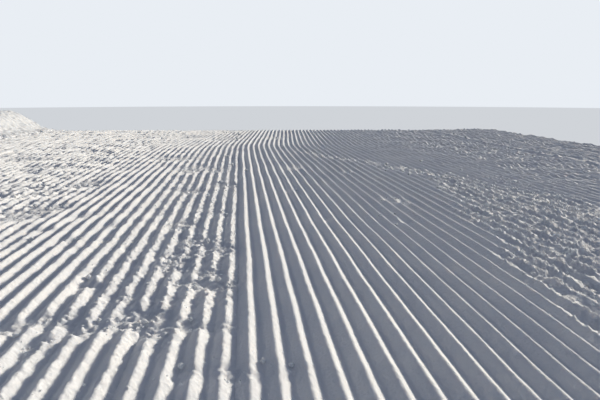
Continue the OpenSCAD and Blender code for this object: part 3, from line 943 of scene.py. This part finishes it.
# Every mat piece: name, solid it stands for, first ridge, ridges, from s, to s, row step, columns of a ridge
matPieces = [
    ("left_mat_lip", "left_mat_near", -52, 50, 0.0, lipEnd, 36 * mm, "plain"),
    ("left_mat_fore_inner", "left_mat_near", -10, 8, lipEnd, foreEnd, 4.5 * mm, "fine"),
    ("left_mat_fore_outer", "left_mat_near", -52, 42, lipEnd, foreEnd, 40 * mm, "plain"),
    ("left_mat_walk_inner", "left_mat_near", -15, 13, foreEnd, walkEnd, 6.5 * mm, "fine"),
    ("left_mat_walk_outer", "left_mat_near", -52, 37, foreEnd, walkEnd, 40 * mm, "plain"),
    ("left_mat_mid_inner", "left_mat_near", -25, 23, walkEnd, midEnd, 12 * mm, "middle"),
    ("left_mat_mid_outer", "left_mat_near", -52, 27, walkEnd, midEnd, 30 * mm, "plain"),
    ("left_mat_back", "left_mat_near", -52, 50, midEnd, nearEnd, 32 * mm, "plain"),
    ("left_mat_bend", "left_mat_bend", -52, 50, nearEnd, bendEnd, 40 * mm, "plain"),
    ("left_mat_far", "left_mat_far", -52, 50, bendEnd, pisteEnd, 76 * mm, "plain"),
    ("joint_strip_lip", "joint_strip_near", -2, 4, 0.0, lipEnd, 11 * mm, "middle"),
    ("joint_strip_fore", "joint_strip_near", -2, 4, lipEnd, walkEnd, 4.5 * mm, "fine"),
    ("joint_strip_mid", "joint_strip_near", -2, 4, walkEnd, midEnd, 9 * mm, "fine"),
    ("joint_strip_back", "joint_strip_near", -2, 4, midEnd, nearEnd, 16 * mm, "middle"),
    ("joint_strip_bend", "joint_strip_bend", -2, 4, nearEnd, bendEnd, 25 * mm, "plain"),
    ("joint_strip_far", "joint_strip_far", -2, 4, bendEnd, pisteEnd, 30 * mm, "plain"),
    ("right_mat_lip", "right_mat_near", 2, 50, 0.0, lipEnd, 36 * mm, "plain"),
    ("right_mat_fore_inner", "right_mat_near", 2, 18, lipEnd, foreEnd, 8 * mm, "fine"),
    ("right_mat_fore_outer", "right_mat_near", 20, 32, lipEnd, foreEnd, 25 * mm, "plain"),
    ("right_mat_walk_inner", "right_mat_near", 2, 15, foreEnd, walkEnd, 16 * mm, "fine"),
    ("right_mat_walk_track", "right_mat_near", 17, 13, foreEnd, walkEnd, 6 * mm, "fine"),
    ("right_mat_walk_outer", "right_mat_near", 30, 22, foreEnd, walkEnd, 30 * mm, "plain"),
    ("right_mat_mid_inner", "right_mat_near", 2, 17, walkEnd, midEnd, 16 * mm, "middle"),
    ("right_mat_mid_track", "right_mat_near", 19, 15, walkEnd, midEnd, 6.5 * mm, "middle"),
    ("right_mat_mid_outer", "right_mat_near", 34, 18, walkEnd, midEnd, 25 * mm, "plain"),
    ("right_mat_back", "right_mat_near", 2, 50, midEnd, nearEnd, 27 * mm, "plain"),
    ("right_mat_bend", "right_mat_bend", 2, 50, nearEnd, bendEnd, 40 * mm, "plain"),
    ("right_mat_far", "right_mat_far", 2, 50, bendEnd, pisteEnd, 76 * mm, "plain"),
]
for name, node, first, ridges, sFrom, sTo, rowStep, columns in matPieces:
    crumbHeap = name.split("_")[0] + "_crumbs"
    mat = combedMat(first * comb["pitch"], ridges, sFrom, sTo, rowStep, columns, crumbHeap)
    finishPiece(mat, name + "_snow", tilledSnow, "tilled_snow", node)

nextRowSteps = {"near": 50 * mm, "bend": 52 * mm, "far": 60 * mm}
for stretch, (sFrom, sTo) in stretches.items():
    mat = combedMat(
        comb["nextStart"], comb["nextCount"], sFrom, sTo, nextRowSteps[stretch], "plain",
        lift=comb["nextLift"],
    )
    finishPiece(mat, f"next_mat_{stretch}_snow", tilledSnow, "tilled_snow", f"next_mat_{stretch}")
print("combed mats made")

# Strips beside the pass

strips = {
    "edge_strip": {
        "left": -2.8, "right": -2.6, "columns": 24, "rowStep": 16 * mm, "levels": (0.33, 0.30, 0.28),
        "rise": 40 * mm, "windrow": 110 * mm, "windrowHeight": 22 * mm,
    },
    "seam_berm": {
        "left": 2.6, "right": 2.72, "columns": 16, "rowStep": 16 * mm, "levels": (0.33, 0.30, 0.28),
        "height": 20 * mm,
    },
    "bank": {
        "left": course["left"], "right": -2.8, "columns": 36, "rowStep": 20 * mm,
        "levels": (0.335, 0.31, 0.28, 0.25, 0.22, 0.20), "foot": 0.38, "rise": 0.26,
    },
}


def edgeHeight(t):
    # the side finisher's slope down to the pass, then the small windrow
    strip = strips["edge_strip"]
    width = strip["right"] - strip["left"]
    slope = width - strip["windrow"]
    x = t * width
    if x < slope:
        return strip["rise"] * (1 - float(smooth(0, slope, x)))
    return strip["windrowHeight"] * (1 - cos(2 * pi * (x - slope) / strip["windrow"])) / 2


def seamHeight(t):
    # a low ridge on the way up to the next pass
    strip = strips["seam_berm"]
    return comb["nextLift"] * float(smooth(0, 1, t)) + strip["height"] * (1 - cos(2 * pi * t)) / 2


def bankHeight(t):
    # the slope's foot, hollow at the bottom and round at the top
    strip = strips["bank"]
    return strip["rise"] * (1 - float(smooth(0, 1, t))) + strip["foot"] - comb["grooveLevel"]


def longStrip(strip, heightAt, sFrom, sTo, crumbHeap):
    # one row of faces across the strip, its columns lifted to the outline, then repeated along
    left, right, columns = strip["left"], strip["right"], strip["columns"]
    rows = round((sTo - sFrom) / strip["rowStep"])
    step = (sTo - sFrom) / rows
    deselectAll()
    bpy.ops.mesh.primitive_grid_add(
        x_subdivisions=columns, y_subdivisions=1, size=1,
        location=((left + right) / 2, sFrom + step / 2, comb["grooveLevel"]),
    )
    piece = bpy.context.object
    piece.scale = (right - left, step, 1)
    bpy.ops.object.transform_apply(location=True, scale=True)
    for column in range(columns + 1):
        lift = heightAt(column / columns)
        if lift:
            atU = left + (right - left) * column / columns
            editPoints(piece, np.abs(places(piece)[:, 0] - atU) < hair)
            bpy.ops.transform.translate(value=(0, 0, lift))
            bpy.ops.object.mode_set(mode="OBJECT")
    arrayOut(piece, rows, step, 1)
    closeDown(piece, strip["levels"])
    workUp(piece, combed=False, crumbHeap=crumbHeap)
    return piece


stripKinds = [
    ("edge_strip", edgeHeight, tilledSnow, "tilled_snow", "edge_crumbs"),
    ("seam_berm", seamHeight, tilledSnow, "tilled_snow", "seam_crumbs"),
    ("bank", bankHeight, windSnow, "natural_snow", None),
]
for stretch, (sFrom, sTo) in stretches.items():
    for name, heightAt, snow, slot, crumbHeap in stripKinds:
        strip = longStrip(strips[name], heightAt, sFrom, sTo, crumbHeap)
        finishPiece(strip, f"{name}_{stretch}_snow", snow, slot, f"{name}_{stretch}")
print("strips made")

# Courses underneath

courses = {
    "base_course": {"left": course["left"], "bottom": 0.0, "top": 0.20, "layers": 10, "step": 20 * mm},
    "packed_course": {"left": -2.8, "bottom": 0.20, "top": 0.28, "layers": 4, "step": 20 * mm},
}


def slab(made, sFrom, sTo):
    # a rim of short edges, closed and drawn down layer by layer
    left, right, top = made["left"], course["right"], made["top"]
    deselectAll()
    bpy.ops.mesh.primitive_plane_add(size=1, location=((left + right) / 2, (sFrom + sTo) / 2, top))
    piece = bpy.context.object
    piece.scale = (right - left, sTo - sFrom, 1)
    bpy.ops.object.transform_apply(location=True, scale=True)
    bpy.ops.object.mode_set(mode="EDIT")
    bpy.ops.mesh.select_mode(type="FACE")
    bpy.ops.mesh.select_all(action="SELECT")
    bpy.ops.mesh.delete(type="ONLY_FACE")
    bpy.ops.object.mode_set(mode="OBJECT")
    for axis, length in ((0, right - left), (1, sTo - sFrom)):
        corners = places(piece)
        ends = np.array([e.vertices for e in piece.data.edges])
        wanted = np.abs(corners[ends[:, 0], axis] - corners[ends[:, 1], axis]) > length / 2
        activate(piece)
        piece.data.vertices.foreach_set("select", np.zeros(len(piece.data.vertices), bool))
        piece.data.edges.foreach_set("select", wanted)
        bpy.context.tool_settings.mesh_select_mode = (False, True, False)
        bpy.ops.object.mode_set(mode="EDIT")
        bpy.ops.mesh.subdivide(number_cuts=round(length / made["step"]) - 1)
        bpy.ops.object.mode_set(mode="OBJECT")
    editPoints(piece, np.ones(len(piece.data.vertices), bool))
    bpy.ops.mesh.edge_face_add()
    bpy.ops.mesh.select_all(action="SELECT")
    drop = (made["bottom"] - top) / made["layers"]
    for layer in range(made["layers"]):
        bpy.ops.mesh.extrude_region_move(TRANSFORM_OT_translate={"value": (0, 0, drop)})
    bpy.ops.object.mode_set(mode="OBJECT")
    workUp(piece, relieved=False)
    return piece


courseKinds = [("base_course", oldSnow, "old_snow"), ("packed_course", packedSnow, "packed_snow")]
for stretch, (sFrom, sTo) in stretches.items():
    for name, snow, slot in courseKinds:
        block = slab(courses[name], sFrom, sTo)
        finishPiece(block, f"{name}_{stretch}_snow", snow, slot, f"{name}_{stretch}")
print("courses made")

# Clods

clods = {
    "voxel": 3 * mm,
    "lump": 9 * mm,
    "rough": 4 * mm,
    "level": 0.6,    # of the noise, where the faces stay in place
    "kept": 0.5,     # share of the faces
}
for name in ("edge_clods", "left_clods", "joint_clods", "right_clods", "skid_clods", "seam_clods"):
    solid = frame["nodes"][name]
    activate(solid)
    bpy.ops.object.duplicate()
    heap = bpy.context.object
    heap.parent = None
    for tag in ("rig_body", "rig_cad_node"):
        if tag in heap:
            del heap[tag]
    editPoints(heap, np.ones(len(heap.data.vertices), bool))
    bpy.ops.mesh.remove_doubles(threshold=0.01 * mm)
    bpy.ops.object.mode_set(mode="OBJECT")
    remesh = heap.modifiers.new("lumps", "REMESH")
    remesh.mode = "VOXEL"
    remesh.voxel_size = clods["voxel"]
    cloud = bpy.data.textures.new(name, "CLOUDS")
    cloud.noise_scale = clods["lump"]
    cloud.noise_depth = 2
    rough = heap.modifiers.new("rough", "DISPLACE")
    rough.texture = cloud
    rough.strength = clods["rough"]
    rough.mid_level = clods["level"]
    fewer = heap.modifiers.new("fewer", "DECIMATE")
    fewer.ratio = clods["kept"]
    applyAll(heap)
    bpy.ops.object.shade_smooth_by_angle(angle=radians(50))
    finishPiece(heap, name + "_snow", clodSnow, "clod_snow", name)
print("clods made")

for crumbHeap, strewn in crumbHeaps.items():
    activate(strewn[0])
    for more in strewn[1:]:
        more.select_set(True)
    bpy.ops.object.join()
    bpy.ops.object.shade_smooth_by_angle(angle=radians(40))
    finishPiece(bpy.context.object, crumbHeap, crumbSnow, "clod_snow")
for shape in list(crumbShapes.objects):
    bpy.data.objects.remove(shape)
bpy.data.collections.remove(crumbShapes)
print("crumbs strewn")

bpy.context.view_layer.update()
triangles = 0
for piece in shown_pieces():
    piece.data.calc_loop_triangles()
    triangles += len(piece.data.loop_triangles)
print("triangles in all:", triangles)
